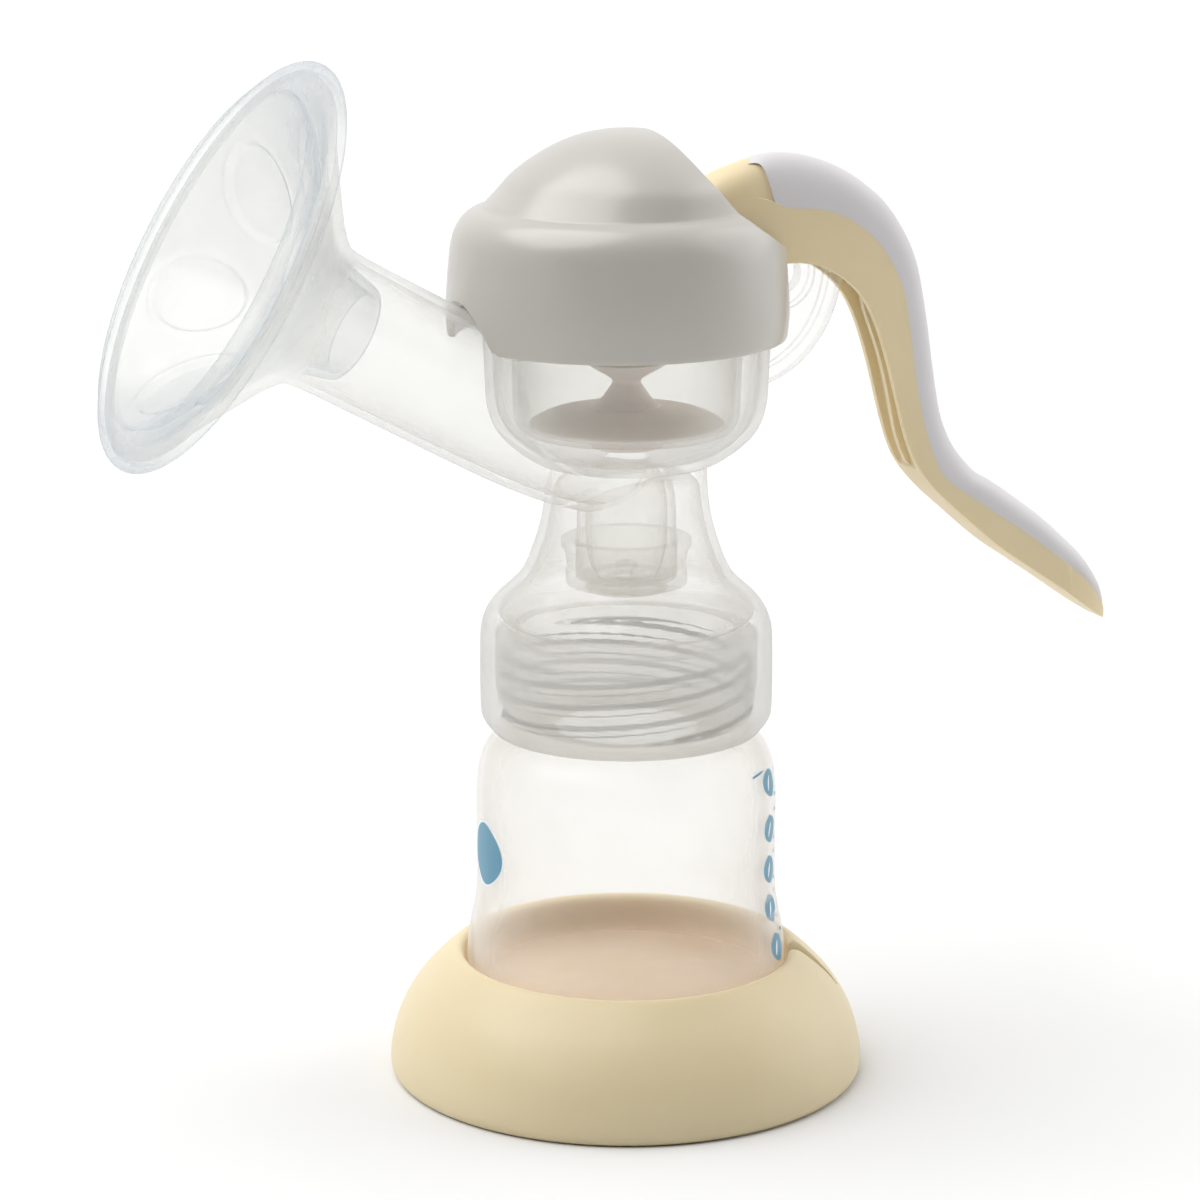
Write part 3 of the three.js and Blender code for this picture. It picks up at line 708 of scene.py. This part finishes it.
def build_clear_body():
    neck, neck_cavity = neck_solids()
    shield, shield_cavity = shield_solids()
    bowl, bowl_cavity = bowl_solids()
    shield_core = shield.copy()
    shield_core.data = shield.data.copy()
    bpy.context.scene.collection.objects.link(shield_core)
    port = [(0, PORT_END), (PORT_RADIUS, PORT_END, 0.4), (PORT_RADIUS, 141), (0, 141)]
    bore = [(0, PORT_END - 1), (PORT_BORE, PORT_END - 1), (PORT_BORE, 140.9), (0, 140.9)]
    port_wall = lathe("port_wall", rounded(port, closed=False), 96)
    port_core = lathe("port_core", rounded(port, closed=False), 96)
    body = join(neck, shield)
    cut(neck_cavity, shield_core, port_wall)
    cut(body, neck_cavity)
    join(body, keep(port_core, lathe("port_region", [(0, 110), (14, 110), (14, 141), (0, 141)], 96)))
    cut(body, shield_cavity, lathe("port_bore", rounded(bore, closed=False), 96))
    join(body, bowl)
    cut(body, bowl_cavity)
    edge = BOWL_FLANGE + 0.2
    cut(body, lathe("above_bowl", [(0, BOWL_TOP), (edge, BOWL_TOP), (edge, 200), (0, 200)]))
    cut(body, lathe("drain", [(0, 139), (5, 139), (5, 145), (0, 145)], 64))
    join(body, build_fin())
    body.name = "clear_body"
    dress(body, "pump", "clear_plastic", clear_body, "pump_body", "shield_funnel")


# ---------------------------------------------------------------- soft cushion in the shield
def petal_dent(angle, radius, along):
    """Depth of the oval massage petals pressed into the cushion's face."""
    if along < 88 or radius < 16:
        return 0
    step = 2 * math.pi / PETALS
    nearest = round((angle - PETAL_START) / step) * step + PETAL_START
    across = (angle - nearest) * radius
    outward = (radius - 26.5) / 9.4
    reach = math.hypot(across / (8.8 + 1.4 * outward), outward)
    rim = math.exp(-(((reach - 1.06) / 0.055) ** 2))
    return 0.8 * (1 - smoothstep(0.90, 1.0, reach)) - 0.35 * rim


def with_petals(angle, radius, along):
    on_face = radius < 38.6 and along > face_line(radius) - 1.0
    dent = petal_dent(angle, radius, along) if on_face else 0
    return straight(angle, radius + 0.6 * dent, along - 0.8 * dent)


def face_line(radius):
    points = [(13.9, 88.8), (18.9, 92.9), (25.4, 97.7), (31.4, 102.4), (37.1, 106.4), (38.8, 107.4)]
    for (low, first), (high, second) in zip(points, points[1:]):
        if low <= radius <= high:
            return first + (second - first) * (radius - low) / (high - low)
    return 1000


def resampled(line, spacing):
    """The same line with points at most spacing apart."""
    dense = [line[0]]
    for point in line[1:]:
        parts = max(1, math.ceil((point - dense[-1]).length / spacing))
        start = dense[-1]
        dense.extend(start + (point - start) * (k + 1) / parts for k in range(parts))
    return dense


def build_cushion():
    against_funnel = [
        (10.6, 72.5, 0.4), (11.2, 73.4), (13.5, 83.8), (15.5, 87.3), (19.7, 91.2), (26.1, 96), (32.1, 100.7),
        (37.5, 104.6), (40.6, 106.6), (41.8, 107.1, 0.3),
    ]
    rim = [
        (45.4, 107.1, 0.2), (45.4, 104.9, 0.2), (46.7, 104.9), (RIM_RADIUS, 105.9), (47.5, 107.4),
        (46, 108.6), (44.4, 108.7), (42.6, 110.6), (40.6, 111), (39.2, 110.2), (38.8, 108.2),
    ]
    face = [
        (37.1, 106.4), (31.4, 102.4), (25.4, 97.7), (18.9, 92.9), (13.9, 88.8), (11.8, 84.4),
        (9.2, 72.9, 0.3), (9.6, 72.5, 0.2),
    ]
    full = rounded([*against_funnel, *rim, *face])
    start = next(k for k, point in enumerate(full) if point.y > 107.9)
    line = full[:start] + resampled(full[start:], 0.5)
    cushion = lathe("cushion_skin", line, 320, SHIELD_FRAME, with_petals)
    dress(cushion, "cushion", "clear_silicone", silicone, "cushion", sharp=50)


# ---------------------------------------------------------------- valve
def build_valve():
    bore = PORT_RADIUS + GAP
    profile = [
        (1.9, 113.5, 0.2), (13.2, 113.5, 0.3), (13.6, 113.9, 0.2), (13.6, 117.2, 0.2), (13.2, 117.6, 0.2),
        (13.9, 121.6, 0.4), (14.6, 122.1, 0.2), (14.6, 124, 0.3), (bore, 124, 0.3), (bore, 115.1, 0.4),
        (1.9, 115.1, 0.2),
    ]
    cup = lathe("valve_shell", rounded(profile), 96)
    holes = 5
    for k in range(holes):
        angle = 2 * math.pi * k / holes
        shift = Matrix.Translation((6.2 * math.cos(angle), 6.2 * math.sin(angle), 0))
        cut(cup, lathe("hole", [(0, 110), (1.9, 110), (1.9, 115.3), (0, 115.3)], 32, shift))
    dress(cup, "valve", "clear_silicone", thin_silicone, "valve_cup")

    flap = [
        (0, 110.4), (0.9, 110.6), (0.9, 112), (9.2, 112.2, 0.2), (9.4, 112.8, 0.2), (1.5, 113.2, 0.3),
        (1.5, 116.6, 0.3), (2.5, 117), (2.2, 118.4), (0, 118.9),
    ]
    disc = lathe("valve_disc", rounded(flap, closed=False), 96)
    dress(disc, "flap", "clear_silicone", thin_silicone, "valve_flap")


# ---------------------------------------------------------------- diaphragm and stem
def build_diaphragm():
    profile = [
        (3.4, 147.6, 0.1), (22.4, 147.6), (24.4, 149.4), (25.2, 152), (25.3, 160), (25.7, 168), (27, 172.2),
        (29.4, BOWL_TOP + GAP), (33, BOWL_TOP + GAP, 0.1), (33.2, 174.8), (33.2, 176), (32.8, 176.6),
        (27.6, 176.6), (25.6, 173.6), (24.5, 168.5), (24.1, 160), (24, 152.5), (23.4, 150.2), (22, 148.8),
        (3.4, 148.8, 0.1),
    ]
    line = rounded(profile)
    line = resampled(line + line[:1], 1.2)[:-1]
    cup = lathe("diaphragm_cup", line, 144)
    dress(cup, None, "clear_silicone", thin_silicone, "diaphragm", sharp=60)
    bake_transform(cup)


def build_stem():
    profile = [
        (0, 145.4), (2.7, 145.4), (3.1, 145.8), (3.1, 149.1, 0.1), (21.4, 149.1, 0.3), (21.8, 149.6),
        (21.6, 150.3), (16, 153), (7.4, 153.3), (7.4, 154.1), (6.1, 154.7), (3.4, 158.6), (3.1, 159.4),
        (3.5, 160.2), (9, 163.2), (9, 164.2), (STEM_NECK, 164.7, 0.2), (STEM_NECK, 173, 0.2),
        (5.6, 173.6, 0.4), (5.6, 176.4), (4.4, 177.8), (0, 178.2),
    ]
    dress(lathe("stem_shaft", rounded(profile, closed=False), 96), "stem", "stem_plastic", pale_pink, "stem")
    button = [
        (3.4, 144.5, 0.1), (7.6, 144.5, 0.3), (8, 145, 0.3), (8, 146.8, 0.3), (7.5, 147.3, 0.3),
        (3.4, 147.3, 0.1),
    ]
    dress(lathe("stem_nut", rounded(button), 96), "stem", "stem_plastic", pale_pink, "stem_button")


# ---------------------------------------------------------------- handle
SEAM = [
    (36.4, 196.6), (41.4, 196.5), (47.4, 195.5), (52.9, 192.8), (57.6, 189.2), (60.9, 185.3),
    (63.8, 180.5), (65.8, 175.4), (67.3, 166.9), (68.5, 158.3), (70.6, 146.8), (75.2, 134.2),
    (79.2, 130.4), (84.5, 127.2), (91.2, 122.6), (99.2, 117.4), (107.3, 111.2), (112.7, 106.9),
    (118.7, 101.2), (121.6, 97, 0.6),
]


def build_arm():
    under_fork = FORK_HEIGHT - FORK_THICKNESS / 2
    over_fork = FORK_HEIGHT + FORK_THICKNESS / 2
    underside = [
        (121.5, 94.4, 0.8), (116.7, 97.4), (107.7, 103.8), (98.5, 110), (91.5, 114.6), (81.3, 123.4),
        (74.6, 129.2), (68.6, 136.5), (65.2, 147), (62.3, 158.6), (57.9, 171.6), (52.7, 178.6),
        (45.2, 183.2), (37.9, 184.4), (30, 183.6), (24, 181.4),
    ]
    link = [
        (18, 176), (13, 169, 1), (11, under_fork, 0.8), (-8, under_fork, 0.5), (-8, over_fork, 0.5),
        (7, over_fork, 0.8), (9.4, 174), (10.6, 180), (11, 187),
    ]
    under_dome = [
        (12.4, 191), (15, 194), (18.4, 196.2), (22.6, 198.2), (26.4, 199.4), (29.4, 199.4), (32.8, 198.2),
    ]
    outline = rounded([*underside, *link, *under_dome, *SEAM], steps=4)
    channel = rounded([
        (21, 176), (21, 195), (24, 199.6), (28, 198.4), (32, 195.6), (36, 194), (41, 193.9), (45.8, 193),
        (50.8, 190.6), (55, 187.4), (58, 183.8), (60.5, 179.4), (62.3, 174.8), (63.8, 166.4), (65.1, 157.8),
        (66.6, 149), (69.4, 139.6), (71.4, 134.4), (66, 128), (58, 140), (54, 160), (46, 172), (36, 178),
    ], steps=4)
    rib = rounded([
        (56.6, 175.4), (59, 177), (62.3, 182), (66, 176), (67, 166), (69, 152), (72, 140), (74, 134),
        (69.4, 135), (66.6, 142), (64.6, 152), (62, 162),
    ], steps=4)
    arm = join(plate("handle_shell", outline, ARM_HALF_WIDTH, 0.9), head_dome())
    cut(arm, plate("channel", channel, CHANNEL_HALF_WIDTH, 0.8))
    join(arm, keep(plate("rib", rib, 0.8), plate("rib_region", outline, 2)))
    slot = STEM_NECK + 0.7
    cut(arm, block("fork_slot", (-9, -slot, 160), (9, slot, 180)))
    cut(arm, rod("pin_hole", PIVOT_X, PIVOT_Z, PIN_RADIUS + GAP, 20))
    keep(arm, plan_solid())
    dress(arm, "handle", "yellow_plastic", handle_yellow, "handle_arm", sharp=40)


def half_width_at(x):
    reach = min(max(x - TAIL_START, 0) / TAIL_LENGTH, 1)
    return ARM_HALF_WIDTH * math.sqrt(1 - reach * reach)


def plan_solid():
    """Seen from above, the handle is straight-sided and its tail ends in a half ellipse."""
    steps = 24
    xs = [-20] + [TAIL_START + TAIL_LENGTH * math.sin(math.pi / 2 * k / steps) for k in range(steps + 1)]
    near = [(x, -half_width_at(x)) for x in xs]
    far = [(x, half_width_at(x)) for x in reversed(xs[:-1])]
    rings = [[(x, y, z) for x, y in near + far] for z in (80, 230)]
    return loft("plan", rings)


GRIP_STATIONS = [
    (27.4, 205.4, 28, 206.6), (28.8, 202.2, 30.3, 207.6), (30, 200.2, 32.6, 208.2),
    (32.8, 198.4, 36.1, 208.4), (36.6, 197, 41, 207.9), (41.5, 196.9, 46.5, 206.4),
    (47.5, 195.9, 51.9, 204.1), (53.1, 193.2, 57.3, 200.7), (57.9, 189.5, 62.7, 196.1),
    (61.3, 185.5, 67, 190.2), (64.2, 180.7, 70.2, 183.8), (66.2, 175.5, 72, 177.1),
    (67.7, 167, 73.8, 167.7), (68.9, 158.4, 75.2, 158.8), (71.2, 146.9, 77.2, 147.9),
    (73.4, 140, 79.6, 141.6), (75.7, 134.9, 82.6, 137), (79.4, 130.8, 87.1, 132.3),
    (84.7, 127.6, 90.9, 130.1), (91.4, 123, 97.6, 125.5), (99.4, 117.8, 104.6, 120.3),
    (107.5, 111.6, 111.3, 114.4), (112.9, 107.3, 116.3, 109.4), (118.8, 101.6, 120.5, 103.3),
    (121.4, 98, 122.2, 98.6),
]


def domed_ring(seam, crest, half_width, start=0.0, across=28):
    """An arch over the handle from the seam on one side to the seam on the other, over the crest.
    A start above 0 leaves out that much of the arch's angle at each side."""
    ring = []
    for k in range(across + 1):
        angle = start + (math.pi - 2 * start) * k / across
        rise = math.sin(angle) ** 0.8
        point = seam + (crest - seam) * rise
        ring.append((point.x, -half_width * math.cos(angle), point.y))
    return ring


def build_grip():
    """Lofted: at each station a flat seam below and a domed top that peaks at the crest.
    The nose narrows to a rounded tongue on the arm's head."""
    rings = []
    for number, (seam_x, seam_z, crest_x, crest_z) in enumerate(threaded(GRIP_STATIONS)):
        seam, crest = Vector((seam_x, seam_z)), Vector((crest_x, crest_z))
        seam -= SEAM_SETTLE * (crest - seam).normalized()
        half_width = half_width_at((seam_x + crest_x) / 2) - 0.02
        tongue = math.radians(62) * (1 - smoothstep(0, 13, number)) ** 0.8
        rings.append(domed_ring(seam, crest, half_width, tongue))
    dress(loft("grip_overmould", rings), "handle", "grip_rubber", lavender, "handle_grip", sharp=60)


def head_dome():
    """The arm's own head has the same arch as the grip, which settles onto it."""
    head = [
        (10.6, 186, 13.2, 190.6), (11.4, 188.6, 14.2, 196.2), (12.6, 191.6, 15.2, 200.2),
        (15, 194.2, 17.8, 202.9), (18.4, 196.4, 21, 204.7), (22.6, 198.4, 24.8, 206),
        (26.4, 199.6, 28.2, 207), (29.4, 199.6, 31.4, 207.4), (32.8, 198.4, 35.4, 207.2),
        (36.6, 197, 40, 204), (38.6, 195.6, 41, 198.4),
    ]
    rings = []
    for seam_x, seam_z, crest_x, crest_z in threaded(head):
        seam, crest = Vector((seam_x, seam_z)), Vector((crest_x, crest_z))
        seam -= SEAM_SETTLE * (crest - seam).normalized()
        under_grip = 0.4 * smoothstep(26, 31, seam_x)
        rings.append(domed_ring(seam, crest, ARM_HALF_WIDTH - 0.03 - under_grip))
    return loft("head_dome", rings)


def build_pin():
    turn = Matrix.Translation((PIVOT_X, 0, PIVOT_Z)) @ Matrix.Rotation(math.radians(90), 4, "X")
    end = ARM_HALF_WIDTH - 0.4
    profile = [(0, -end), (PIN_RADIUS, -end, 0.4), (PIN_RADIUS, end, 0.4), (0, end)]
    pin = lathe("hinge_pin", rounded(profile, closed=False), 48, turn)
    dress(pin, "handle", "pin_steel", steel, "pivot_pin")


# ---------------------------------------------------------------- cap
def on_cap(angle, radius, height):
    """The ring is turned about an axis nearer the shield than the dome's."""
    shift = CAP_OFFSET * (1 - smoothstep(197, 204, height))
    return straight(angle, radius, height) + Vector((shift, 0, 0))


def below_scoop(name, depth):
    """Everything below the scooped rear face, which falls from the dome's top to the ring."""
    scoop = [
        (4.5, 215.4, 2), (8, 207.9), (12, 202.4), (16, 198.4), (20, 195.2), (25, 192.2), (30, 189.8),
        (36, 187),
    ]
    back, down = depth * 0.7, depth * 0.75
    line = [(x - back, z - down, *more) for x, z, *more in scoop]
    frame_points = [(-60, 150, 1), (-60, 240, 1), (line[0][0], 240, 1), *line, (60, 172, 1), (60, 150, 1)]
    return plate(name, rounded(frame_points), 60)


def build_cap():
    outside = [
        (0, 169.3), (36.9, 169.3, 0.4), (37.5, 169.9), (37.9, 175), (37.7, 180), (37.1, 187), (36.7, 190.6),
        (35.8, 193.6), (34.2, 196), (32.2, 197.6), (30, 198.3, 0.5), (29, 200, 1), (28, 202), (26.8, 204),
        (24.4, 206.2), (20, 209.4),
        (14.1, 212.6), (7.5, 214.6), (0, 215.3),
    ]
    inside = [
        (0, 169.2), (35.8, 169.2, 0.2), (35.9, 175), (35.7, 180), (35.1, 187), (34.6, 190), (33.5, 192.8),
        (31.6, 195.2), (28.2, 197.6), (26.4, 200.2), (25.2, 202.8), (22.8, 204.8), (18.8, 207.7),
        (13.2, 210.7), (7, 212.6), (0, 213.3),
    ]
    cap = lathe("cap_shell", rounded(outside, closed=False), 224, place=on_cap)
    keep(cap, below_scoop("scoop", 0))
    hollow = lathe("cap_hollow", rounded(inside, closed=False), 192, place=on_cap)
    keep(hollow, below_scoop("scoop_inside", CAP_SKIN))
    notch = SHIELD_TUBE + 0.8
    cut(
        cap,
        hollow,
        block("slot", (13.5, -CAP_SLOT_HALF_WIDTH, 150), (60, CAP_SLOT_HALF_WIDTH, 240)),
        lathe("tube_notch", [(0, 10), (notch, 10), (notch, 70), (0, 70)], 128, SHIELD_FRAME),
        block("below_notch", (-60, -14.4, 150), (-20, 14.4, 170)),
    )
    dress(cap, "cap", "cap_plastic", satin_white, "cap", sharp=40)


# ---------------------------------------------------------------- setting
ROOM_FRONT = (-0.389, -0.921, 0.0)  # from the object towards the room's dark side
BACK_LIGHT = 1.0
FRONT_LIGHT = 0.03
OVERHEAD_LIGHT = 2.8
OVERHEAD_DIRECTION = (0.50, -0.10, -1.0)
FILL_LIGHT = 1.1
FILL_DIRECTION = (-1.0, 0.15, -0.55)


def build_floor():
    work = bmesh.new()
    bmesh.ops.create_circle(work, cap_ends=True, radius=8, segments=96)
    floor = finished("floor", work)
    material, tree = node_tree("floor_paper")
    colour = blended(tree, noise(tree, 3), (0.75, 0.75, 0.75), (0.77, 0.77, 0.77))
    shader = add(tree, "ShaderNodeBsdfPrincipled", Base_Color=colour, Roughness=0.9)
    shader.inputs["Specular IOR Level"].default_value = 0.1
    add(tree, "ShaderNodeOutputMaterial", Surface=shader.outputs[0])
    floor.data.materials.append(material)
    floor.location.z = -0.0002


def build_world():
    """A bright backdrop that fades round the sides to a dark room in front, as in a small studio.
    The room itself shows as plain white behind the floor."""
    world = bpy.data.worlds.new("studio")
    bpy.context.scene.world = world
    world.use_nodes = True
    tree = world.node_tree
    tree.nodes.clear()
    direction = add(tree, "ShaderNodeTexCoord").outputs["Generated"]
    ahead = tree.nodes.new("ShaderNodeVectorMath")
    ahead.operation = "DOT_PRODUCT"
    tree.links.new(direction, ahead.inputs[0])
    ahead.inputs[1].default_value = ROOM_FRONT
    light = spread(tree, ahead.outputs["Value"], BACK_LIGHT, FRONT_LIGHT, -0.7, 0.5)
    lighting = add(tree, "ShaderNodeBackground", Color=(1, 1, 1, 1), Strength=light)
    backdrop = add(tree, "ShaderNodeBackground", Color=(1, 1, 1, 1), Strength=1.0)
    seen = add(tree, "ShaderNodeLightPath").outputs["Is Camera Ray"]
    mixed = add(tree, "ShaderNodeMixShader", i0=seen, i1=lighting.outputs[0], i2=backdrop.outputs[0])
    add(tree, "ShaderNodeOutputWorld", Surface=mixed.outputs[0])


def soft_sun(name, energy, direction):
    sun = bpy.data.lights.new(name, "SUN")
    sun.energy = energy
    sun.angle = math.radians(60)
    lamp = bpy.data.objects.new(name, sun)
    lamp.rotation_euler = Vector(direction).to_track_quat("-Z", "Y").to_euler()
    bpy.context.scene.collection.objects.link(lamp)


def build_lights():
    soft_sun("overhead", OVERHEAD_LIGHT, OVERHEAD_DIRECTION)
    soft_sun("right_fill", FILL_LIGHT, FILL_DIRECTION)


def build_camera():
    camera = bpy.data.objects.new("camera", bpy.data.cameras.new("camera"))
    camera.location = (-0.3303, -0.7669, 0.310)
    camera.rotation_mode = "QUATERNION"
    camera.rotation_quaternion = Vector((0.3783, 0.8957, -0.2335)).to_track_quat("-Z", "Y")
    camera.data.lens = 114.9
    camera.data.sensor_width = 36
    camera.data.clip_start = 0.01
    bpy.context.scene.collection.objects.link(camera)
    bpy.context.scene.camera = camera


def set_view():
    scene = bpy.context.scene
    scene.view_settings.view_transform = "Standard"
    scene.view_settings.look = "None"
    scene.cycles.transparent_max_bounces = 64
    scene.cycles.max_bounces = 12


build_stand()
build_bottle()
build_prints()
build_clear_body()
build_cushion()
build_valve()
build_diaphragm()
build_stem()
build_arm()
build_grip()
build_pin()
build_cap()
build_floor()
build_world()
build_lights()
build_camera()
set_view()
